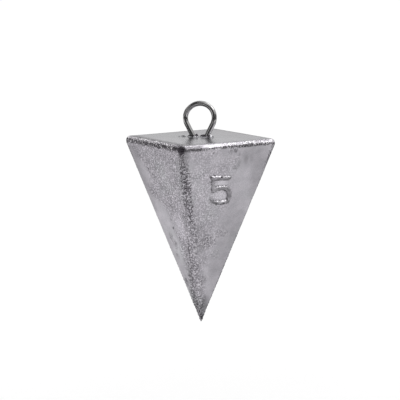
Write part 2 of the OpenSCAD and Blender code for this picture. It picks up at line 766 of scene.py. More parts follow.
@dataclass(frozen=True)
class Groove:
    """The shallow ragged groove where the roll meets the sloping faces, narrower on the right."""

    cut: float = 0.08
    upper: Span = (0.80, 1.15)
    lower: float = 1.80
    fade: float = 0.4
    waver: Ripple = Ripple(1.3, 3.6, 0.14)
    jitter: Ripple = Ripple(0.6, 7.4, 0.10)
    right_lift: float = 0.12
    front_lift: Ramp = Ramp(0.28, 12.0, 4.0)
    corner_lift: Ramp = Ramp(0.14, 11.0, 15.0)
    fullness: float = 0.9
    ragged: Ripple = Ripple(1.1, 9.9, 0.5)
    left_soot: float = 0.70
    left_less_soot: Ramp = Ramp(0.3, 0.75, 0.92)
    right_soot: float = 0.56
    right_more_soot: Ramp = Ramp(0.26, 5.0, 9.0)

    def mark(self, spot: Spot, skin: Skin) -> None:
        """Cuts the groove and darkens it with soot and painted shade.

        Args:
            spot: The spot.
            skin: Its skin, which is changed.
        """
        x = spot.place.x
        low = self.lower + self.waver.at(spot.place) + self.jitter.at(spot.place)
        if x > 0:
            low -= self.right_lift + self.front_lift.at(x) + self.corner_lift.at(x)
        deep = within(self.upper, (low, low - self.fade), spot.depth) * spot.below
        deep *= min(1.0, max(0.0, self.fullness + self.ragged.at(spot.place)))
        skin.move -= deep * self.cut
        # Soot in the groove, partly painted shade along the crease under the roll
        if x < 0:
            skin.blacken(deep * (self.left_soot - self.left_less_soot.at(spot.beside)))
        else:
            skin.blacken(deep * (self.right_soot + self.right_more_soot.at(x)))


@dataclass(frozen=True)
class Arris:
    """The pitted front and back arrises, with soot on them and in loose bands beside them.

    Across them, places are in millimetres to the right as seen from the arris's own side.
    """

    full_half: float = 3.7
    waver: Ripple = Ripple(0.9, 2.4, 0.22)
    left: float = -1.60
    left_in: Ramp = Ramp(1.0, 14.0, 19.0)
    left_out: Ramp = Ramp(1.0, 22.0, 26.0)
    left_edge: Span = (-0.3, 0.25)
    right_edge: Span = (1.1, 0.6)
    pits: Ripple = Ripple(0.55, 7.7)
    pit_bias: float = 0.2
    pit_depth: float = 0.12
    pit_loss: float = 0.4

    # Soot on it, in a loose band beside it and along its rim
    soot_and_shade: float = 0.18
    upper_soot_and_shade: Ramp = Ramp(0.36, 27.0, 16.0)
    tip_soot: Ramp = Ramp(0.26, 41.0, 46.0)
    soot_start: Span = (1.5, 7.0)
    loose_soot: float = 0.20
    loose_over: tuple[Span, Span] = ((-2.5, -1.4), (1.5, 0.8))
    loose_depth: tuple[Span, Span] = ((15.5, 18.0), (26.0, 23.0))
    rim_at: float = 1.5
    rim_half: Span = (0.42, 0.12)
    rim_depth: tuple[Span, Span] = ((22.0, 26.0), (46.0, 42.0))
    rim_soot: float = 0.46
    rim_ragged: Ripple = Ripple(1.2, 4.7, 0.35)

    def mark(self, spot: Spot, skin: Skin) -> None:
        """Pits the arris and blackens it.

        Args:
            spot: The spot.
            skin: Its skin, which is changed.
        """
        depth, place = spot.depth, spot.place
        over = (place.x if place.y < 0 else -place.x) + self.waver.at(place)
        scale = min(1.0, spot.half / self.full_half)
        left = (self.left + self.left_in.at(depth) - self.left_out.at(depth)) * scale
        arris = blend(left + self.left_edge[0], left + self.left_edge[1], over) * spot.below
        arris *= blend(self.right_edge[0] * scale, self.right_edge[1] * scale, over)
        pit = max(0.0, self.pits.at(place) + self.pit_bias)
        skin.move -= arris * pit * self.pit_depth * (1 - spot.share * self.pit_loss)
        dark = self.soot_and_shade + self.upper_soot_and_shade.at(depth) + self.tip_soot.at(depth)
        skin.blacken(arris * dark * blend(*self.soot_start, depth))
        loose = within(*self.loose_over, over) * within(*self.loose_depth, depth)
        skin.blacken(self.loose_soot * loose * spot.below)
        rim = blend(*self.rim_half, abs(over + self.rim_at * scale)) * within(*self.rim_depth, depth)
        skin.blacken(rim * (self.rim_soot + self.rim_ragged.at(place)) * spot.below)


@dataclass(frozen=True)
class CornerShade:
    """Painted shade under the top's front corner, and painted shade on the faces round it."""

    x: float = -0.75
    depth: float = 1.15
    squash: float = 0.85
    reach: Span = (1.45, 0.35)
    waver: Ripple = Ripple(0.8, 3.9, 0.30)
    soot_and_shade: float = 1.35
    dulled: Span = (0.9, 0.2)
    shade: Ramp = Ramp(1.1, 3.4, 0.8)
    shade_x: float = -0.5
    shade_depth: float = 1.6
    shade_narrow: float = 1.5
    shade_tall: float = 0.55

    def mark(self, spot: Spot, skin: Skin) -> None:
        """Paints shade under the corner, takes the painted highlight off the roll to its right and paints
        shade round it.

        Args:
            spot: The spot.
            skin: Its skin, which is changed.
        """
        x, y, _ = spot.place
        if y >= 0:
            return
        # Painted shade under the corner
        spread = math.hypot(x - self.x, (spot.depth - self.depth) * self.squash)
        corner_shade = blend(*self.reach, spread + self.waver.at(spot.place)) * spot.below
        skin.blacken(self.soot_and_shade * corner_shade)
        if x >= 0:
            skin.rub_and_highlight *= blend(*self.dulled, corner_shade)
        sideways = (x - self.shade_x) * self.shade_narrow
        away = math.hypot(sideways, (spot.depth - self.shade_depth) * self.shade_tall)
        skin.tone -= spot.side * self.shade.at(away)


@dataclass(frozen=True)
class PartingLine:
    """The thin broken fin that the mould's joint leaves, and the soot beside it, with painted shade along it
    near the top.
    """

    height: float
    reach: Span = (0.24, 0.08)
    breaks: Ripple = Ripple(2.6, 5.5)
    broken: Span = (-0.3, 0.3)
    broken_height: float = 0.5
    height_share: float = 0.8
    top_share: float = 0.35
    soot_and_shade: Ramp = Ramp(0.35, 0.45, 0.15)
    upper_soot_and_shade: Ramp = Ramp(0.65, 1.3, 0.5)
    upper_depth: Span = (9.0, 4.0)
    soot_start: Span = (0.5, 1.4)

    def mark(self, spot: Spot, skin: Skin) -> None:
        """Raises the fin, which is lower on the top face, and darkens its foot with soot and, near the top,
        painted shade.

        Args:
            spot: The spot.
            skin: Its skin, which is changed.
        """
        off = abs(spot.place.y)
        whole = blend(*self.broken, self.breaks.at(spot.place))
        fin = blend(*self.reach, off) * (self.broken_height + (1 - self.broken_height) * whole)
        height = self.height * self.height_share * (self.top_share if spot.top > 0.5 else 1.0)
        skin.move += fin * height
        # Soot at the fin's foot, and painted shade beside it near the top
        stain_and_shade = self.soot_and_shade.at(off) + self.upper_soot_and_shade.at(off) * blend(*self.upper_depth, spot.depth)
        skin.blacken(stain_and_shade * spot.below * blend(*self.soot_start, spot.depth))


@dataclass(frozen=True)
class ToneAndSheen:
    """The broad light and dark of the skin, and how much it shines."""

    top_sheen: float = 0.9
    side_sheen: float = 0.4
    washes: Ripple = Ripple(6.5, 4.9, 0.16)
    right_clouds: Ripple = Ripple(2.6, 6.8, 0.07)
    left_clouds: Ripple = Ripple(2.6, 6.8, 0.12)
    top_tone: float = 0.03
    top_fall: float = 0.02
    tip: Ramp = Ramp(0.6, 44.0, 46.4)
    rim: Ramp = Ramp(0.9, 4.2, 0.9)
    rim_end: Span = (0.95, 0.8)

    def mark(self, spot: Spot, skin: Skin) -> None:
        """Sets the sheen and adds to the tone, which is darkest at the tip and the top's front left.

        Args:
            spot: The spot.
            skin: Its skin, which is changed.
        """
        x, y, _ = spot.place
        skin.sheen = self.top_sheen * spot.top + self.side_sheen * spot.side * (1 - min(1.0, skin.grit))
        clouds = self.right_clouds if x > 0 else self.left_clouds
        skin.tone += self.washes.at(spot.place) + clouds.at(spot.place) * spot.side
        skin.tone += spot.top * (self.top_tone - self.top_fall * y) - self.tip.at(spot.depth)
        if x < 0 and y < 0:
            skin.tone -= spot.top * self.rim.at(spot.inside) * blend(*self.rim_end, spot.beside)


@dataclass(frozen=True)
class Blemish:
    """A soft-edged stain, pimple, pit, lighter or darker patch, or patch of painted shade on a sloping face,
    in millimetres.

    Its place is how far it is across the face from the middle, anticlockwise as seen from above,
    and how far up the slope from the top edge. A rise above 0 is a pimple and below 0 a pit.
    """

    across: float
    along: float
    wide: float
    tall: float
    tone: float
    soot_and_shade: float = 0.0
    rise: float = 0.0
    edge: ClassVar[Span] = (1.0, 0.25)

    def mark(self, spot: Spot, skin: Skin) -> None:
        """Adds the blemish, which fades from its middle to its edge.

        Args:
            spot: The spot.
            skin: Its skin, which is changed.
        """
        away = math.hypot((spot.across - self.across) / self.wide, (spot.along - self.along) / self.tall)
        strength = blend(*self.edge, away)
        skin.tone += self.tone * strength
        skin.blacken(self.soot_and_shade * strength)
        skin.move += self.rise * strength


@dataclass(frozen=True)
class Blemishes:
    """The single blemishes of the four sloping faces."""

    by_face: dict[Face, tuple[Blemish, ...]]

    def mark(self, spot: Spot, skin: Skin) -> None:
        """Adds the blemishes of the spot's face.

        Args:
            spot: The spot.
            skin: Its skin, which is changed.
        """
        if spot.top < 0.5:
            for blemish in self.by_face[spot.face]:
                blemish.mark(spot, skin)


BLEMISHES = {
    Face.FRONT_LEFT: (
        Blemish(1.0, -16.0, 9.5, 17.0, 0.08),
        Blemish(-10.8, -6.0, 4.2, 11.0, -0.55),
        Blemish(-5.2, -7.9, 0.45, 0.4, -1.4, rise=-0.10),
        Blemish(7.8, -5.7, 0.9, 0.6, 0.9, rise=0.12),
        Blemish(2.4, -17.6, 2.4, 2.2, -0.3),
        Blemish(2.2, -23.4, 2.8, 4.2, 0.30),
        Blemish(-4.0, -22.0, 4.4, 5.4, 0.36),
        Blemish(-1.6, -29.0, 4.0, 5.4, 0.42),
        Blemish(-1.05, -23.6, 0.40, 0.38, -1.8, soot_and_shade=0.7, rise=-0.08),
        Blemish(-1.0, -21.2, 0.36, 0.3, -1.2, soot_and_shade=0.4, rise=-0.04),
        Blemish(-3.3, -26.4, 1.5, 2.0, -0.35, soot_and_shade=0.30),
        Blemish(-2.2, -28.2, 1.7, 2.0, -0.35, soot_and_shade=0.34),
        Blemish(-2.6, -31.2, 1.2, 1.8, -0.25, soot_and_shade=0.26),
        Blemish(1.6, -33.6, 1.8, 2.6, -0.35),
        Blemish(-1.7, -38.4, 1.2, 2.4, -0.4, soot_and_shade=0.42),
        Blemish(-0.6, -41.6, 1.4, 2.8, -0.25, soot_and_shade=0.24),
        Blemish(0.0, -46.5, 2.8, 8.0, -1.0),
        Blemish(1.1, -37.4, 1.8, 3.4, -0.9, soot_and_shade=0.14),
        Blemish(-8.0, -14.6, 3.2, 6.5, -0.45),
        Blemish(4.2, -16.0, 3.6, 3.2, 0.45),
        Blemish(3.2, -22.5, 3.6, 6.5, 0.55),
    ),
    Face.FRONT_RIGHT: (
        Blemish(-6.5, -11.0, 8.0, 14.0, 0.1),
        Blemish(4.5, -28.0, 6.0, 18.0, -0.55),
        Blemish(-4.7, -2.4, 0.5, 0.35, -0.9, soot_and_shade=0.3),
        Blemish(1.8, -2.3, 1.0, 0.85, -0.7, soot_and_shade=0.28, rise=-0.06),
        Blemish(0.2, -2.6, 1.0, 1.0, -0.4, soot_and_shade=0.15),
        Blemish(2.45, -4.05, 0.62, 0.5, 0.9, rise=0.12),
        Blemish(2.3, -4.5, 1.3, 0.9, -0.5, soot_and_shade=0.12, rise=-0.03),
        Blemish(3.0, -3.3, 0.6, 1.2, -0.4, soot_and_shade=0.12),
        Blemish(3.4, -5.9, 0.7, 1.2, -0.55),
        Blemish(2.4, -6.9, 1.2, 0.8, -0.45, soot_and_shade=0.1, rise=0.02),
        Blemish(5.3, -5.0, 1.0, 1.7, -0.45),
        Blemish(6.9, -4.2, 0.8, 1.8, -0.25),
        Blemish(4.6, -20.0, 2.6, 4.6, 0.14),
        Blemish(-2.4, -26.8, 4.4, 2.6, -0.15, soot_and_shade=0.17),
        Blemish(1.6, -24.9, 3.4, 1.8, -0.10, soot_and_shade=0.12),
        Blemish(0.6, -30.4, 2.2, 2.0, -0.05, soot_and_shade=0.16),
        Blemish(-2.0, -37.2, 2.2, 1.6, -0.15, soot_and_shade=0.30),
        Blemish(0.8, -34.3, 2.4, 3.4, -0.28),
        # Lighter inside the figure's two bowls
        Blemish(-0.8, -14.3, 2.8, 2.0, 0.85),
        Blemish(-1.0, -10.9, 2.6, 1.3, 0.65),
        Blemish(0.0, -47.0, 3.0, 7.0, -1.2),
        Blemish(6.4, -4.0, 6.0, 4.4, -0.42),
        # Painted shade under the figure's stroke ends and under its base
        Blemish(-4.05, -9.6, 0.5, 0.4, -0.7),
        Blemish(1.2, -9.42, 0.9, 0.22, -0.9),
        Blemish(-2.8, -15.2, 0.9, 0.5, -0.7, soot_and_shade=0.3),
        Blemish(-2.05, -16.0, 0.6, 0.4, -0.7, soot_and_shade=0.3),
        Blemish(0.35, -16.25, 0.6, 0.35, -1.0, soot_and_shade=0.35),
        Blemish(10.8, -10.5, 5.0, 10.0, -0.6),
        Blemish(-4.6, -26.0, 4.6, 6.0, -0.5),
        Blemish(-2.0, -41.4, 1.4, 4.2, -0.3),
    ),
    Face.BACK_LEFT: (
        Blemish(3.4, -12.0, 2.6, 3.0, -0.3, rise=0.03),
        Blemish(-2.2, -24.0, 2.4, 4.2, 0.2),
    ),
    Face.BACK_RIGHT: (
        Blemish(-4.6, -7.2, 2.0, 1.6, -0.35, rise=-0.04),
        Blemish(1.4, -29.0, 2.2, 4.0, -0.25),
    ),
}


@dataclass(frozen=True)
class Stroke:
    """One raised line of the numeral, as points on the face and its half width, in millimetres.

    A point is given by how far it is toward the parting line from the face's middle, and how far
    up the slope it is from the face's top edge.
    """

    points: tuple[tuple[float, float], ...]
    half: float

    def distance(self, across: float, along: float) -> float:
        """Measures how far a place on the face is from the line.

        Args:
            across: The place's distance across the face.
            along: Its distance up the slope.

        Returns:
            The distance.
        """
        best = math.inf
        for (ax, ay), (bx, by) in zip(self.points, self.points[1:]):
            dx, dy = bx - ax, by - ay
            share = ((across - ax) * dx + (along - ay) * dy) / (dx * dx + dy * dy)
            share = min(1.0, max(0.0, share))
            best = min(best, math.hypot(across - ax - share * dx, along - ay - share * dy))
        return best


@dataclass(frozen=True)
class Numeral:
    """The raised weight figure, a plain 5, on the front right face.

    Its undersides carry painted shade and its upper slopes a painted highlight, but for a nick in the top
    bar and a worn end of the bowl.
    """

    height: float = 0.40
    strokes: tuple[Stroke, ...] = (
        Stroke(((-3.95, -9.10), (1.02, -9.50)), 0.59),
        Stroke(((-3.95, -9.10), (-3.44, -11.0), (-3.06, -12.50)), 0.53),
        Stroke(((-3.10, -12.52), (-2.35, -12.22), (-1.43, -12.05), (-0.50, -12.06)), 0.62),
        Stroke(((-0.50, -12.06), (0.50, -12.30), (1.35, -12.84)), 0.62),
        Stroke(((1.35, -12.84), (1.80, -13.60), (2.00, -14.45), (1.97, -15.27), (1.62, -15.84)), 0.65),
        Stroke(((1.60, -15.80), (0.85, -16.02), (-0.40, -16.08), (-1.50, -15.90)), 0.56),
        Stroke(((-1.50, -15.92), (-2.40, -15.62), (-3.20, -15.22)), 0.42),
    )
    across_ends: Span = (-5.2, 3.4)
    along_ends: Span = (-17.6, -7.9)
    least_depth: float = 3.0
    slope: Span = (-0.05, 0.5)
    crest: Ripple = Ripple(0.75, 1.1)
    crest_worn: float = 0.12
    end_worn: Ramp = Ramp(0.26, -14.6, -16.2)
    smoothed: float = 0.7

    # The nick in the top bar, and the channel at the foot of the strokes
    nick: tuple[float, float] = (-1.35, -9.0)
    nick_reach: Span = (0.42, 0.12)
    nick_depth: float = 0.12
    foot: tuple[Span, Span] = ((-0.4, -0.05), (0.4, 0.1))
    foot_depth: float = 0.03
    foot_soot: float = 0.21
    foot_ragged: Ripple = Ripple(0.6, 3.3, 0.30)

    # Painted shade on the lower and left slopes, darker on the bowl's arc, lighter on the stem and faint at
    # the end
    shade_lean: tuple[float, float] = (0.10, 0.24)
    shade_slope: Span = (0.0, 0.3)
    shade_tone: float = 1.05
    shade_patches: Ripple = Ripple(0.9, 5.8)
    upper_patchy: float = 0.4
    lower_patchy: Ramp = Ramp(0.6, -14.6, -15.4)
    arc_along: tuple[Span, Span] = ((-13.4, -12.8), (-11.0, -11.5))
    arc_across: Span = (-2.9, -2.2)
    arc_lean: float = 0.12
    arc_tone: float = 0.25
    stem_across: Span = (-2.6, -3.0)
    stem_along: Span = (-9.8, -10.4)
    stem_tone: float = 0.2
    end_along: float = -14
    end_fade: Span = (-4.2, -3.5)

    # The painted highlight on the upper slopes, dull at the bowl's end
    highlight_slope: Span = (0.0, 0.12)
    highlight_patches: Ripple = Ripple(1.3, 9.2)
    highlight_whole: Span = (-0.5, 0.0)
    upper_highlight: Ramp = Ramp(0.8, -14.6, -13.0)
    dull_end_across: Span = (-1.9, -2.5)
    dull_end_along: Span = (-14.2, -14.8)

    def plain(self, across: float, along: float) -> float:
        """Gives 1 on the middle of a stroke, 0 at its foot, and less than 0 beyond it."""
        return max(1 - stroke.distance(across, along) / stroke.half for stroke in self.strokes)

    def reaches(self, face: Face, across: float, along: float, depth: float) -> bool:
        """Says whether a place on a face is on the figure or just beside it.

        Args:
            face: The face.
            across: The place's distance across it.
            along: Its distance up the slope.
            depth: Its depth below the top.

        Returns:
            Whether it is.
        """
        left, right = self.across_ends
        low, high = self.along_ends
        near = left < across < right and low < along < high
        return near and face is Face.FRONT_RIGHT and depth > self.least_depth

    def mark(self, spot: Spot, skin: Skin) -> None:
        """Raises the figure, with its nick and the faint channel at its foot, and paints shade and a
        highlight on its slopes.

        Args:
            spot: The spot.
            skin: Its skin, which is changed.
        """
        across, along = spot.across, spot.along
        if not self.reaches(spot.face, across, along, spot.depth):
            return
        near = self.plain(across, along)
        rise = blend(*self.slope, near)
        worn = (self.crest_worn + self.end_worn.at(along)) * self.crest.at(spot.place)
        nick = blend(*self.nick_reach, math.hypot(across - self.nick[0], along - self.nick[1]))
        foot = within(*self.foot, near)
        skin.move += self.height * rise * (1 + worn) - nick * self.nick_depth - foot * self.foot_depth
        skin.blacken(nick, foot * (self.foot_soot + self.foot_ragged.at(spot.place)))
        # Painted shade on the lower and left slopes, and a painted highlight on the upper ones
        shade = self.shade(spot, skin)
        skin.brighten(blend(*self.highlight_slope, near) * (1 - shade) * (1 - nick) * self.slope_highlight(spot))
        skin.grit *= 1 - self.smoothed * rise

    def shade(self, spot: Spot, skin: Skin) -> float:
        """Paints shade on the strokes' lower and left slopes, unevenly.

        Args:
            spot: The spot.
            skin: Its skin, which is changed.

        Returns:
            How far the spot is on such a slope.
        """
        across, along = spot.across, spot.along
        arc = within(*self.arc_along, along) * blend(*self.arc_across, across)
        stem = blend(*self.stem_across, across) * blend(*self.stem_along, along)
        near = self.plain(across + self.shade_lean[0], along + self.shade_lean[1] - self.arc_lean * arc)
        shade = blend(*self.shade_slope, near)
        patchy = (self.upper_patchy + self.lower_patchy.at(along)) * self.shade_patches.at(spot.place)
        fading = blend(*self.end_fade, across) if along < self.end_along else 1.0
        tone = self.shade_tone + patchy + self.arc_tone * arc - self.stem_tone * stem
        skin.tone -= shade * fading * tone
        return shade

    def slope_highlight(self, spot: Spot) -> float:
        """Works out the painted highlight on the upper slopes, least at the bowl's end.

        Args:
            spot: The spot.

        Returns:
            The brightness, up to 1.
        """
        across, along = spot.across, spot.along
        whole = blend(*self.highlight_whole, self.highlight_patches.at(spot.place) + self.upper_highlight.at(along))
        return whole * (1 - blend(*self.dull_end_across, across) * blend(*self.dull_end_along, along))


@dataclass(frozen=True)
class Flash:
    """The ragged metal that ran between the mould's halves and round the wire's two necks."""

    reach_x: float = 6.0
    reach_y: float = 1.7
    torn: Ripple = Ripple(0.75, 4.1)
    dash_height: float = 0.24
    dash_half: Span = (0.40, 0.14)
    dash_waver: Ripple = Ripple(1.4, 2.2, 0.14)
    dash_x: float = -0.9
    dash_ends: Span = (4.9, 4.2)
    dash_whole: Span = (-0.35, 0.15)
    dash_soot: float = 1.1

    # The collars round the necks
    collar_height: float = 0.52
    collar_squash: float = 0.8
    collar_torn: float = 0.28
    collar_edge: float = 0.05
    collar_fullness: float = 0.8
    collar_lumps: Ripple = Ripple(0.4, 6.6, 0.5)
    collar_soot: float = 1.2
    most_soot: float = 1.2
    wire_r: float = 0.675
    left_neck: float = -1.66
    left_reach: float = 0.5
    right_neck: float = 1.66
    right_reach: float = 0.85

    # The painted highlight on one spot
    bright_at: tuple[float, float] = (2.85, -0.3)
    bright_reach: Span = (0.42, 0.2)

    def mark(self, spot: Spot, skin: Skin) -> None:
        """Raises the dashes and the collars, blackens them and paints a highlight on one spot on the right.

        Args:
            spot: The spot.
            skin: Its skin, which is changed.
        """
        x, y, _ = spot.place
        if spot.top <= 0.5 or abs(y) >= self.reach_y or abs(x) >= self.reach_x:
            return
        torn = self.torn.at(spot.place)
        dash = blend(*self.dash_half, abs(y + self.dash_waver.at(spot.place)))
        dash *= blend(*self.dash_ends, abs(x - self.dash_x)) * blend(*self.dash_whole, torn)
        collar = 0.0
        for neck, reach in ((self.left_neck, self.left_reach), (self.right_neck, self.right_reach)):
            away = math.hypot((x - neck) * self.collar_squash, y) - self.wire_r + self.collar_torn * torn
            collar = max(collar, blend(reach, self.collar_edge, away))
        full = self.collar_fullness + self.collar_lumps.at(spot.place)
        skin.move += self.dash_height * dash + self.collar_height * collar * full
        skin.blacken(min(self.most_soot, self.dash_soot * dash + self.collar_soot * collar))
        # A painted highlight on one spot
        bright = blend(*self.bright_reach, math.hypot(x - self.bright_at[0], y - self.bright_at[1]))
        skin.soot_and_shade *= 1 - bright
        skin.brighten(bright)


@dataclass(frozen=True)
class Border:
    """The darkening along the rim of the top face, heaviest at the back right and the front left."""

    rear_reach: Span = (2.7, 1.6)
    rear_waver: Ripple = Ripple(1.2, 2.7, 0.4)
    rear_right_dark: float = 0.55
    rear_left_dark: float = 0.3
    reach: Span = (3.4, 1.9)
    waver: Ripple = Ripple(1.1, 6.0, 0.5)
    soot_and_shade: float = 0.12
    front_left_dark: Ramp = Ramp(0.46, 0.98, 0.90)

    def mark(self, spot: Spot, skin: Skin) -> None:
        """Darkens the rim.

        Args:
            spot: The spot.
            skin: Its skin, which is changed.
        """
        x, y, _ = spot.place
        if y > 0:
            rear = blend(*self.rear_reach, spot.inside + self.rear_waver.at(spot.place)) * spot.top
            skin.blacken(rear * (self.rear_right_dark if x > 0 else self.rear_left_dark))
        dark = self.front_left_dark.at(spot.beside) if x < 0 and y < 0 else self.soot_and_shade
        skin.blacken(dark * spot.top * blend(*self.reach, spot.inside + self.waver.at(spot.place)))


@dataclass
class LeadCasting:
    """The poured lead body, a pyramid with its point down, in millimetres."""

    top_w: float = 28.5
    body_h: float = 47.4
    edge_r: float = 1.2
    tip_r: float = 0.12
    fin_h: float = 0.1
    numeral: Numeral = field(default_factory=Numeral)
    finish: CastLead = field(default_factory=CastLead)

    # The even mesh, and how it is put back on the flat faces
    facets: int = 24
    spacing: float = 0.34
    tip_stretch: float = 2.4
    top_rim: float = 1.6
    top_snap: float = 0.2
    face_snap: float = 0.4
    flat_beside: Span = (0.95, 1.25)
    flat_depth: Span = (1.4, 1.9)

    # Where it is divided, as half widths and depths
    fine_numeral: float = -0.45
    fine_flash: tuple[float, float, float] = (5.4, 1.5, 0.1)
    fine_roll: tuple[float, float] = (2.3, 2.4)
    fine_arris: tuple[float, float, float] = (0.4, 1.4, 40.0)
    fine_fin: float = 0.45

    # The eased front and back arrises
    arris_wide: float = 2.26
    arris_tight: float = 1.06
    arris_half: float = 2.6
    arris_depth: Span = (0.9, 2.6)

    # What counts as the top face and as the roll, by the surface's facing and depth
    top_lift: Span = (0.93, 0.99)
    roll_lift: Span = (-0.22, 0.0)
    roll_depth: Span = (3.2, 2.2)

    # Limits
    least_half: float = 0.3
    most_soot: float = 1.5
    clearance: float = 0.001

    def __post_init__(self) -> None:
        """Works out the slopes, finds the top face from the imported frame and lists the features."""
        low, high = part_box("lead_body")
        self.top_z = high.z / MM - self.fin_h
        self.low_z = low.z / MM
        self.reach = high.y / MM
        self.lean = math.atan(self.top_w / 2 / self.body_h)
        self.tip_depth = self.body_h * (1 - self.tip_r / math.cos(self.lean) / (self.top_w / 2))
        self.features: tuple[Feature, ...] = (
            Grain(),
            Roll(),
            Groove(),
            Arris(),
            CornerShade(),
            PartingLine(self.fin_h),
            ToneAndSheen(),
            Blemishes(BLEMISHES),
            self.numeral,
            Flash(),
            Border(),
        )

    def blank(self) -> BMesh:
        """Wraps five balls in one hull: four at the top's corners and one at the tip.

        Returns:
            The plain body, with round edges that taper down to the tip.
        """
        inset = self.edge_r / math.cos(self.lean)
        corner = ROOT_2 * (self.top_w / 2 * (1 - self.edge_r / self.body_h) - inset)
        shift = Matrix.Translation((corner, 0, self.top_z - self.edge_r))
        balls = [
            (self.edge_r, self.facets, Matrix.Rotation(turn * math.pi / 2, 4, "Z") @ shift)
            for turn in range(4)
        ]
        balls.append((self.tip_r, self.facets // 2, Matrix.Translation((0, 0, self.top_z - self.tip_depth))))
        made = bmesh.new()
        for radius, facets, place in balls:
            bmesh.ops.create_uvsphere(
                made, u_segments=facets * 2, v_segments=facets, radius=radius, matrix=place
            )
        hull = bmesh.ops.convex_hull(made, input=made.verts)
        inner = list(set(hull["geom_interior"] + hull["geom_unused"]))
        bmesh.ops.delete(made, geom=inner, context="VERTS")
        return made

    def even(self, blank: BMesh) -> BMesh:
        """Gives the plain body an even mesh, fine enough for the marks of the mould.

        Args:
            blank: The plain body, which is freed.

        Returns:
            The same body in small squares.
        """
        mesh = meshed("blank", blank)
        holder = linked("blank", mesh)
        cover = holder.modifiers.new("cover", "REMESH")
        cover.mode = "VOXEL"
        cover.voxel_size = self.spacing
        shown = holder.evaluated_get(bpy.context.evaluated_depsgraph_get())
        covered = bpy.data.meshes.new_from_object(shown)
        made = bmesh.new()
        made.from_mesh(covered)
        bpy.data.objects.remove(holder)
        for used in (mesh, covered):
            bpy.data.meshes.remove(used)
        return made

    def stretch(self, made: BMesh) -> None:
        """Draws the tip, which the even mesh rounds off, out to its full length.

        Args:
            made: The body's mesh, which is changed.
        """
        tip = self.top_z - self.tip_depth - self.tip_r
        lowest = min(vert.co.z for vert in made.verts)
        start = tip + self.tip_stretch
        for vert in made.verts:
            if vert.co.z < start:
                vert.co.z = start + (tip - start) * (start - vert.co.z) / (start - lowest)

    def half_width(self, depth: float) -> float:
        """Gives the distance from the axis to the planes of the sloping faces at a depth."""
        return self.top_w / 2 * (1 - depth / self.body_h)

    def flatten(self, made: BMesh) -> None:
        """Puts the mesh's points back on the top and on the flat faces between the round edges.

        Args:
            made: The body's mesh, which is changed.
        """
        for vert in made.verts:
            x, y, z = vert.co
            depth = self.top_z - z
            if depth < self.edge_r / 2 and abs(x) + abs(y) < self.reach - self.top_rim:
                if depth < self.top_snap:
                    vert.co.z = self.top_z
                continue
            rounding = self.edge_r + (self.tip_r - self.edge_r) * min(1.0, depth / self.body_h)
            first, last = (rounding * share for share in self.flat_beside)
            keep = blend(first, last, min(abs(x), abs(y)) * ROOT_2) * blend(*self.flat_depth, depth)
            shift = (self.half_width(depth) - (abs(x) + abs(y)) / ROOT_2) * keep
            if abs(shift) < self.face_snap:
                vert.co.x += math.copysign(shift / ROOT_2, x)
                vert.co.y += math.copysign(shift / ROOT_2, y)

    def ease(self, made: BMesh) -> None:
        """Rounds the front and back arrises, wider on one side as the mould's cutter left them.

        Args:
            made: The body's mesh, which is changed.
        """
        for vert in made.verts:
            x, y, z = vert.co
            depth = self.top_z - z
            half = self.half_width(depth)
            scale = min(1.0, half / self.arris_half)
            turn = -1 if y < 0 else 1
            wide, tight = self.arris_wide * scale, self.arris_tight * scale
            share = (-turn * x * ROOT_2 + wide) / (wide + tight)
            fade = blend(*self.arris_depth, depth)
            if abs(y) < abs(x) or not 0 < share < 1 or fade == 0:
                continue
            sideways = (share**2 * tight - (1 - share) ** 2 * wide) / ROOT_2
            inward = (share**2 * tight + (1 - share) ** 2 * wide) / ROOT_2
            vert.co.x += (-turn * sideways - x) * fade
            vert.co.y += (turn * (half * ROOT_2 - inward) - y) * fade

    def on_face(self, place: Vector) -> tuple[Face, float, float]:
        """Finds where a point lies on the nearest sloping face.

        Args:
            place: The point, in millimetres.

        Returns:
            The face, and the point's distances across it and up its slope from the top edge.
        """
        face = Face.under(place)
        right, back = face.value
        across = (right * place.y - back * place.x) / ROOT_2
        out = -self.inside(place)
        along = out * math.sin(self.lean) + (place.z - self.top_z) * math.cos(self.lean)
        return face, across, along

    def inside(self, place: Vector) -> float:
        """Gives how far a point is in from the outline of the top, seen from above."""
        return self.top_w / 2 - (abs(place.x) + abs(place.y)) / ROOT_2

    def grade(self, place: Vector) -> Grade:
        """Says how closely the mesh is divided at a point.

        Args:
            place: The point, in millimetres.

        Returns:
            The grade: finest on the numeral and the flash, and fine beside the numeral and on the
            roll, the front and back arrises and the fin.
        """
        x, y, z = place
        depth = self.top_z - z
        face, across, along = self.on_face(place)
        if self.numeral.reaches(face, across, along, depth):
            on_figure = self.numeral.plain(across, along) > self.fine_numeral
            return Grade.FINEST if on_figure else Grade.FINE
        flash_x, flash_y, flash_depth = self.fine_flash
        if abs(x) < flash_x and abs(y) < flash_y and depth < flash_depth:
            return Grade.FINEST
        roll_depth, roll_w = self.fine_roll
        if depth < roll_depth and self.inside(place) < roll_w:
            return Grade.FINE
        arris_off, arris_w, arris_depth = self.fine_arris
        if abs(x + (arris_off if y < 0 else -arris_off)) < arris_w and depth < arris_depth:
            return Grade.FINE
        return Grade.FINE if abs(y) < self.fine_fin else Grade.PLAIN

    def refine(self, made: BMesh) -> None:
        """Divides the mesh where small forms stand.

        Args:
            made: The body's mesh, which is changed.
        """
        for level in (Grade.FINE, Grade.FINEST):
            chosen = [
                edge
                for edge in made.edges
                if self.grade((edge.verts[0].co + edge.verts[1].co) / 2).value >= level.value
            ]
            bmesh.ops.subdivide_edges(made, edges=chosen, cuts=1, use_grid_fill=True)
            odd = [face for face in made.faces if len(face.verts) > 4]
            bmesh.ops.triangulate(made, faces=odd)

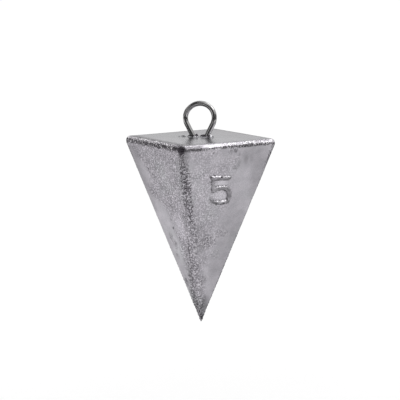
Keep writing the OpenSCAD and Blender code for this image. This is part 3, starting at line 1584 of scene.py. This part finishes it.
    def spot(self, place: Vector, normal: Vector) -> Spot:
        """Finds where a point lies among the casting's parts.

        Args:
            place: The point on the plain body.
            normal: The outward normal there.

        Returns:
            The spot.
        """
        face, across, along = self.on_face(place)
        depth = self.top_z - place.z
        share = min(1.0, depth / self.body_h)
        half = max(self.least_half, self.top_w / ROOT_2 * (1 - share))
        top = blend(*self.top_lift, normal.z)
        roll = blend(*self.roll_lift, normal.z) * (1 - top) * blend(*self.roll_depth, depth)
        return Spot(
            place=place,
            face=face,
            across=across,
            along=along,
            depth=depth,
            share=share,
            half=half,
            beside=min(1.0, abs(place.x) / half),
            inside=self.inside(place),
            top=top,
            roll=roll,
            side=(1 - top) * (1 - roll),
            below=1 - top,
            lift=normal.z,
        )

    def skin(self, place: Vector, normal: Vector) -> Skin:
        """Works out what the mould, the pour and handling left at a point.

        Args:
            place: The point on the plain body.
            normal: The outward normal there.

        Returns:
            The skin.
        """
        spot, skin = self.spot(place, normal), Skin()
        for feature in self.features:
            feature.mark(spot, skin)
        skin.grit = max(0.0, skin.grit)
        skin.soot_and_shade = min(self.most_soot, skin.soot_and_shade)
        return skin

    def trim(self, vert: BMVert) -> None:
        """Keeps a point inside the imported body's reach, which the lumps and the fin would pass.

        Args:
            vert: The point, which is moved.
        """
        over = math.hypot(vert.co.x, vert.co.y) - self.reach
        if over > 0 and abs(vert.co.y) > abs(vert.co.x):
            vert.co.y -= math.copysign(over + self.clearance, vert.co.y)
        vert.co.z = max(vert.co.z, self.low_z)

    def build(self) -> Object:
        """Models the casting with all its marks and dresses it.

        Returns:
            The piece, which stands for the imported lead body.
        """
        made = self.even(self.blank())
        self.stretch(made)
        self.flatten(made)
        self.refine(made)
        self.ease(made)
        made.normal_update()
        layers = {name: made.verts.layers.float.new(name) for name in CastLead.numbers}
        skins = [self.skin(vert.co, vert.normal) for vert in made.verts]
        for vert, skin in zip(made.verts, skins):
            for name, layer in layers.items():
                vert[layer] = getattr(skin, name)
            vert.co += vert.normal * skin.move
            self.trim(vert)
        return as_piece("lead_casting", made, self.finish.material(), "lead_body")


@dataclass
class OpenWire:
    """A wire in the making, whose open end is drawn out and bent in the plane of X and Z.

    It starts with a ring of points round the place, which is the first end and looks along facing.
    Each point is marked with its place round the wire and along it. The second is squeezed, so
    that the drawing lines are long.
    """

    place: Vector
    facing: Vector
    radius: float
    sides: int = 28
    squeeze: float = 0.08

    def __post_init__(self) -> None:
        """Makes the first ring."""
        self.made = bmesh.new()
        draw = self.made.verts.layers.float_vector.new(DrawnWire.lines)
        turned = Matrix.Translation(self.place) @ self.facing.to_track_quat("Z", "Y").to_matrix().to_4x4()
        circle = bmesh.ops.create_circle(self.made, segments=self.sides, radius=self.radius, matrix=turned)
        self.ring = circle["verts"]
        for number, vert in enumerate(self.ring):
            angle = number / self.sides * math.tau
            vert[draw] = (self.radius * math.cos(angle), self.radius * math.sin(angle), 0)

    def run(self, travel: Vector, steps: int) -> None:
        """Draws the open end out along a straight line, in a number of steps."""
        self.draw_out(travel.length, steps, Vector(), 0.0, travel / steps)

    def bend(self, centre: Vector, sweep: float, steps: int) -> None:
        """Bends the open end round a centre, through an angle about +Y, in a number of steps."""
        middle = sum((vert.co for vert in self.ring), Vector()) / self.sides
        self.draw_out((middle - centre).length * abs(sweep), steps, centre, sweep, Vector())

    def draw_out(self, length: float, steps: int, centre: Vector, sweep: float, step: Vector) -> None:
        """Sweeps the open end on and marks the new points.

        Args:
            length: The length of wire that is added.
            steps: The number of steps.
            centre: The centre of the turn.
            sweep: The angle turned through, about +Y.
            step: The straight travel of each step.
        """
        draw = self.made.verts.layers.float_vector[DrawnWire.lines]
        old = set(self.made.verts)
        edges = [edge for edge in self.made.edges if all(vert in self.ring for vert in edge.verts)]
        ends = self.ring + edges
        swept = bmesh.ops.spin(
            self.made, geom=ends, cent=centre, axis=(0, 1, 0), dvec=step, angle=sweep, steps=steps
        )
        before = self.ring[0][draw].z
        fresh = [vert for vert in self.made.verts if vert not in old]
        for number, vert in enumerate(fresh):
            mark = vert[draw].copy()
            mark.z = before + length * self.squeeze * (number // self.sides + 1) / steps
            vert[draw] = mark
        self.ring = [item for item in swept["geom_last"] if isinstance(item, BMVert)]

    def close(self) -> BMesh:
        """Closes both ends and turns the faces outward.

        Returns:
            The wire's mesh.
        """
        bmesh.ops.holes_fill(self.made, edges=self.made.edges, sides=0)
        bmesh.ops.recalc_face_normals(self.made, faces=self.made.faces)
        self.made.normal_update()
        return self.made


@dataclass
class WireEye:
    """The bent wire: loop, two necks, waist and splayed legs, in millimetres and degrees.

    The loop is pressed in a little at the upper left.
    """

    neck_lean: float = 27
    waist_gap: float = 0.3
    waist_r: float = 2.0
    leg_splay: float = 30
    leg_len: float = 7.0
    press: float = 0.22
    press_at: float = 118
    dents: Ripple = Ripple(1.1, 2.0, 0.02)
    leg_rings: int = 14
    waist_rings: int = 14
    neck_rings: int = 10
    loop_rings: int = 72
    finish: DrawnWire = field(default_factory=DrawnWire)

    def __post_init__(self) -> None:
        """Takes the wire's thickness and the loop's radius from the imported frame."""
        low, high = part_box("wire_eye")
        self.wire_r = (high.y - low.y) / 2 / MM
        self.loop_r = high.z / MM - self.wire_r

    def build(self) -> Object:
        """Bends the wire from one buried end to the other and dresses it.

        Returns:
            The piece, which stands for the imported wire.
        """
        lean, splay = math.radians(self.neck_lean), math.radians(self.leg_splay)
        waist_x = self.wire_r + self.waist_gap / 2 + self.waist_r
        waist_z = (waist_x * math.cos(lean) - self.loop_r - self.waist_r) / math.sin(lean)
        waist = Vector((waist_x, 0, waist_z))
        leg_top = waist - self.waist_r * Vector((math.cos(splay), 0, math.sin(splay)))
        leg = self.leg_len * Vector((math.sin(splay), 0, -math.cos(splay)))
        neck_end = waist + self.waist_r * Vector((-math.cos(lean), 0, math.sin(lean)))
        neck = self.loop_r * Vector((math.cos(lean), 0, -math.sin(lean))) - neck_end
        mirrored = Matrix.Diagonal((-1, 1, 1))

        wire = OpenWire(leg_top + leg, leg, self.wire_r)
        wire.run(-leg, self.leg_rings)
        wire.bend(waist, lean + splay, self.waist_rings)
        wire.run(neck, self.neck_rings)
        wire.bend(Vector(), -(math.pi + 2 * lean), self.loop_rings)
        wire.run(mirrored @ -neck, self.neck_rings)
        wire.bend(mirrored @ waist, lean + splay, self.waist_rings)
        wire.run(mirrored @ leg, self.leg_rings)
        made = wire.close()
        self.wear(made)
        return as_piece("wire_loop", made, self.finish.material(), "wire_eye")

    def wear(self, made: BMesh) -> None:
        """Dents the wire finely and presses the loop in.

        Args:
            made: The wire's mesh, with its normals.
        """
        for vert in made.verts:
            vert.co += vert.normal * min(0.0, self.dents.at(vert.co))
            x, _, z = vert.co
            pressed = math.cos(math.atan2(z, x) - math.radians(self.press_at))
            if z > -self.loop_r and pressed > 0:
                vert.co -= Vector((x, 0, z)).normalized() * (self.press * pressed**2)


def linked(name: str, data: ID) -> Object:
    """Puts a mesh, lamp or camera into the scene.

    Args:
        name: The object's name.
        data: The mesh, lamp or camera.

    Returns:
        The object.
    """
    made = bpy.data.objects.new(name, data)
    bpy.context.scene.collection.objects.link(made)
    return made


def meshed(name: str, made: BMesh) -> Mesh:
    """Turns a bmesh into a mesh.

    Args:
        name: The mesh's name.
        made: The bmesh, which is freed.

    Returns:
        The mesh.
    """
    mesh = bpy.data.meshes.new(name)
    made.to_mesh(mesh)
    made.free()
    return mesh


def as_piece(name: str, made: BMesh, material: Material, node: str) -> Object:
    """Turns a mesh in millimetres into a finished piece of the object.

    Args:
        name: The piece's name.
        made: Its mesh, which is freed.
        material: Its finish.
        node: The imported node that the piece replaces.

    Returns:
        The piece, riding on the body.
    """
    for face in made.faces:
        face.smooth = True
    bmesh.ops.scale(made, vec=(MM, MM, MM), verts=made.verts)
    mesh = meshed(name, made)
    mesh.materials.append(material)
    piece = linked(name, mesh)
    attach(piece, "root")
    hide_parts(node)
    triangles = sum(len(polygon.vertices) - 2 for polygon in mesh.polygons)
    LOG.info("%s: %d points, %d triangles", name, len(mesh.vertices), triangles)
    return piece


@dataclass(frozen=True)
class Camera:
    """The photograph's viewpoint, found from the outline of the top and the faces.

    Its place is in millimetres from the middle of the top face, its angles are in degrees and its
    focal length is in pixels.
    """

    top_z: float
    azimuth: float = 12.13
    drop: float = 8.84
    roll: float = -0.383
    focal: float = 1949.8
    place: tuple[float, float, float] = (101.83, -474.15, 59.41)
    sensor: float = 36
    clip: Span = (0.01, 50)

    def build(self) -> Object:
        """Places the camera.

        Returns:
            The camera, which the scene uses.
        """
        data = bpy.data.cameras.new("camera")
        data.sensor_width = self.sensor
        data.lens = self.sensor * self.focal / PIXELS
        data.clip_start, data.clip_end = self.clip
        camera = linked("camera", data)
        turn = math.radians(self.azimuth)
        drop = math.radians(self.drop)
        look = Vector((-math.sin(turn) * math.cos(drop), math.cos(turn) * math.cos(drop), -math.sin(drop)))
        aim = look.to_track_quat("-Z", "Y").to_matrix() @ Matrix.Rotation(math.radians(self.roll), 3, "Z")
        spot = (Vector(self.place) + Vector((0, 0, self.top_z))) * MM
        camera.matrix_world = Matrix.Translation(spot) @ aim.to_4x4()
        bpy.context.scene.camera = camera
        return camera


@dataclass(frozen=True)
class Panel:
    """A flat lamp or a dark card of the studio, in millimetres. It faces the object, or a point.

    Its strength is a multiple of white.
    """

    name: str
    place: tuple[float, float, float]
    width: float
    height: float
    strength: float
    facing: tuple[float, float, float] = (0, 0, -22)

    def aim(self) -> Matrix:
        """Aims the panel.

        Returns:
            Its place and turn, in metres.
        """
        spot = Vector(self.place)
        turn = (Vector(self.facing) - spot).to_track_quat("-Z", "Y").to_matrix().to_4x4()
        return Matrix.Translation(spot * MM) @ turn


@dataclass(frozen=True)
class Studio:
    """White surroundings, a pale floor, soft lamps and the dark cards that give metal its edges.

    The floor lies the drop, in millimetres, below the object, and its size is in metres.
    """

    drop: float = 27.0
    floor_size: float = 30.0
    floor_shade: Colour = (0.9, 0.9, 0.9)
    floor_glow: float = 0.12
    lamps: tuple[Panel, ...] = (
        Panel("side_lamp", (318, -20, 262), 250, 160, 2.4),
        Panel("top_lamp", (172, 138, 330), 190, 190, 2.2),
        Panel("rear_lamp", (-270, 235, 215), 170, 90, 1.0),
    )
    cards: tuple[Panel, ...] = (
        Panel("front_card", (60, -640, 150), 900, 420, 0.10),
        Panel("corner_card", (-430, -200, 60), 380, 280, 0.10),
        Panel("under_card", (14, 46, -77), 70, 64, 0.12, facing=(14, 46, 0)),
        Panel("table_card", (0, -840, -77), 1800, 1080, 0.08, facing=(0, -840, 0)),
        Panel("roof_card", (-200, -150, 330), 440, 440, 0.10),
        Panel("left_card", (-380, 210, 68), 340, 150, 0.12),
        Panel("right_card", (262, -60, -8), 300, 110, 0.12),
    )

    def build(self, low_z: float) -> None:
        """Sets up the floor, world, lamps and cards.

        Args:
            low_z: The lowest point of the object, in millimetres.
        """
        self.floor(low_z - self.drop)
        self.world()
        for lamp in self.lamps:
            self.lamp(lamp)
        for card in self.cards:
            self.card(card)

    def seen(self, graph: Graph) -> Channel:
        """Tells rays from the camera, from gloss and through glass from the others.

        Args:
            graph: The material's tree.

        Returns:
            1 for these rays and 0 for others.
        """
        path = graph.node("ShaderNodeLightPath")
        kinds = ("Camera", "Glossy", "Transmission")
        camera, gloss, glass = (Channel(graph, path.outputs[f"Is {kind} Ray"]) for kind in kinds)
        return (camera + gloss + glass).at_most(1.0)

    def floor(self, height: float) -> None:
        """Lays a plain pale floor, which keeps the object's shadow.

        Args:
            height: Its height in millimetres.
        """
        place = Matrix.Translation((0, 0, height * MM))
        graph = Graph("floor")
        diffuse = graph.node("ShaderNodeBsdfDiffuse", {}, {"Color": self.floor_shade})
        glow = graph.glow(self.seen(graph) * self.floor_glow)
        both = graph.node("ShaderNodeAddShader", {}, {0: diffuse.outputs["BSDF"], 1: glow})
        graph.node("ShaderNodeOutputMaterial", {}, {"Surface": both.outputs["Shader"]})
        floor = self.sheet("floor", self.floor_size, place, graph.material)
        floor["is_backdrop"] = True

    def sheet(self, name: str, size: float, place: Matrix, material: Material) -> Object:
        """Makes a flat square with a material.

        Args:
            name: The object's name.
            size: Half of its side, in metres, before the place stretches it.
            place: Where it goes.
            material: The material.

        Returns:
            The object.
        """
        made = bmesh.new()
        bmesh.ops.create_grid(made, x_segments=2, y_segments=2, size=size, matrix=place)
        mesh = meshed(name, made)
        mesh.materials.append(material)
        return linked(name, mesh)

    def world(self) -> None:
        """Makes the surroundings white."""
        world = bpy.data.worlds.new("studio")
        world.use_nodes = True
        background = world.node_tree.nodes["Background"]
        background.inputs["Color"].default_value = (*WHITE, 1.0)
        background.inputs["Strength"].default_value = 1.0
        bpy.context.scene.world = world

    def lamp(self, panel: Panel) -> None:
        """Hangs one soft lamp, which only shows in the metal.

        Args:
            panel: Its place, size and strength.
        """
        data = bpy.data.lights.new(panel.name, "AREA")
        data.shape = "RECTANGLE"
        data.size, data.size_y = panel.width * MM, panel.height * MM
        data.energy = panel.strength * math.pi * data.size * data.size_y
        lamp = linked(panel.name, data)
        lamp.visible_diffuse = False
        lamp.matrix_world = panel.aim()

    def card(self, panel: Panel) -> None:
        """Hangs one dark card, which only shows in the metal.

        Args:
            panel: Its place, size and strength.
        """
        graph = Graph(panel.name)
        graph.node("ShaderNodeOutputMaterial", {}, {"Surface": graph.glow(panel.strength)})
        place = panel.aim() @ Matrix.Diagonal((panel.width, panel.height, 1, 1))
        card = self.sheet(panel.name, MM / 2, place, graph.material)
        card.visible_camera = card.visible_diffuse = card.visible_shadow = False
        card.visible_transmission = card.visible_volume_scatter = False
        card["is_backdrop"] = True


def main() -> None:
    """Builds the pieces and the studio."""
    logging.basicConfig(level=logging.INFO, format="%(name)s: %(message)s")
    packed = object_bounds()
    casting = LeadCasting()
    Camera(casting.top_z).build()
    casting.build()
    WireEye().build()
    Studio().build(casting.low_z)
    bpy.context.scene.view_settings.view_transform = "Standard"
    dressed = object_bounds()
    for name, box in (("packed", packed), ("dressed", dressed)):
        low, high = ([round(size / MM, 3) for size in corner] for corner in box)
        LOG.info("%s box, mm: %s to %s", name, low, high)


if __name__ == "__main__":
    main()
